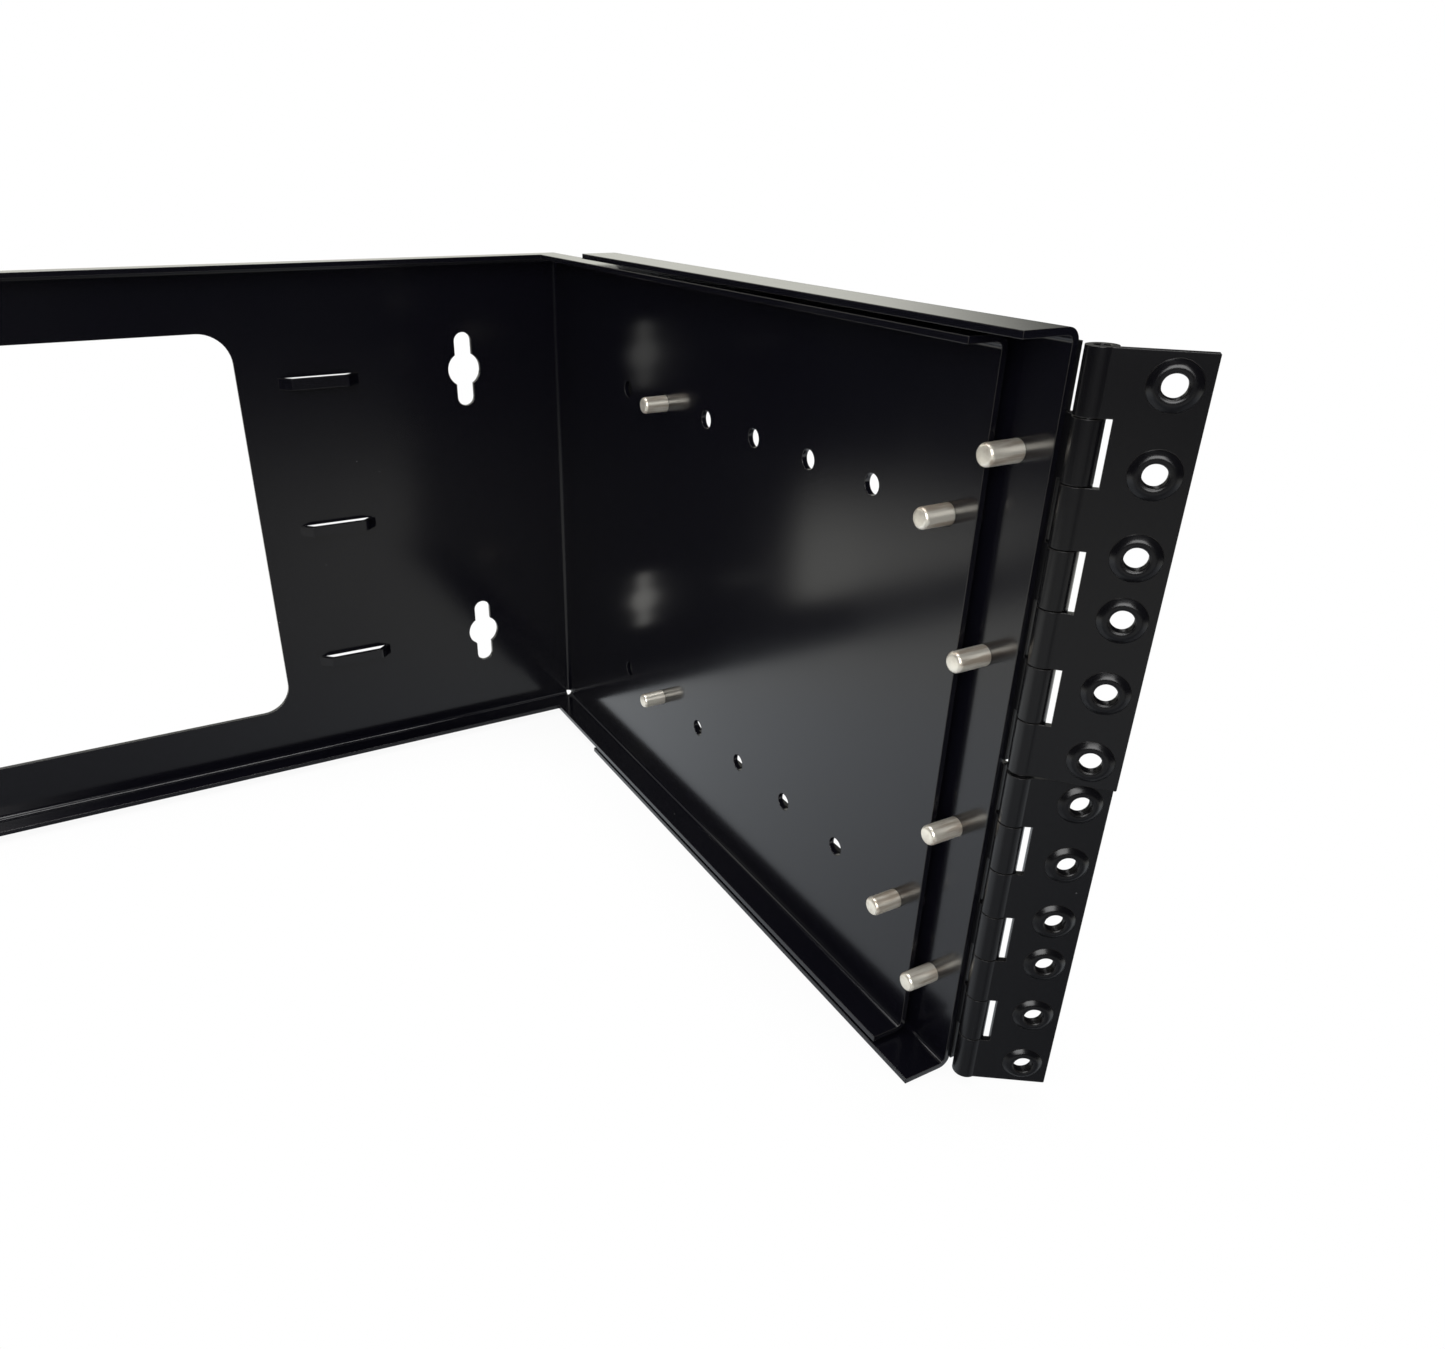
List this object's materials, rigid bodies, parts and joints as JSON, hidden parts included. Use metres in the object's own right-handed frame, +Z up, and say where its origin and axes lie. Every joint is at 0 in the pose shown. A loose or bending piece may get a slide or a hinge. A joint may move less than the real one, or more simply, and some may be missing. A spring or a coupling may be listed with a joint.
{
  "type": "wall mount open frame rack",
  "caption": "Open wall bracket for rack equipment, folded from black sheet, with a windowed back plate, stud-fixed side panels and swinging hinged mounting leaves at one front edge.",
  "frame": {"origin": "centre of the back plate's wall face, in the middle of its four keyholes", "axes": "+X towards the hinged side, +Y into the wall, +Z up; the bracket reaches forward along -Y"},
  "size_m": [0.5065, 0.255, 0.1822],
  "materials": {
    "black_coat": "semi-gloss powder coat",
    "bright_zinc": "bright zinc plate",
    "pin_steel": "plain drawn steel"
  },
  "bodies": {
    "frame": {"wall_frame": "black_coat", "right_extension": "black_coat", "left_extension": "black_coat", "upper_hinge_fixed_leaf": "black_coat", "lower_hinge_fixed_leaf": "black_coat", "upper_hinge_pin": "pin_steel", "lower_hinge_pin": "pin_steel", "right_stud_rear_upper": "bright_zinc", "right_stud_rear_lower": "bright_zinc", "right_stud_front_upper": "bright_zinc", "right_stud_front_lower": "bright_zinc", "left_stud_rear_upper": "bright_zinc", "left_stud_rear_lower": "bright_zinc", "left_stud_front_upper": "bright_zinc", "left_stud_front_lower": "bright_zinc", "hinge_stud_1": "bright_zinc", "hinge_stud_2": "bright_zinc", "hinge_stud_3": "bright_zinc", "hinge_stud_4": "bright_zinc"},
    "upper_leaf": {"upper_hinge_free_leaf": "black_coat"},
    "lower_leaf": {"lower_hinge_free_leaf": "black_coat"}
  },
  "joints": [
    {"name": "upper_leaf_hinge", "type": "hinge", "parent": "frame", "child": "upper_leaf", "pos_m": [0.2455, -0.2389, 0.04445], "axis": [0, 0, 1], "range_deg": [-131, 109]},
    {"name": "lower_leaf_hinge", "type": "hinge", "parent": "frame", "child": "lower_leaf", "pos_m": [0.2455, -0.2389, -0.04445], "axis": [0, 0, 1], "range_deg": [-146, 94]}
  ]
}
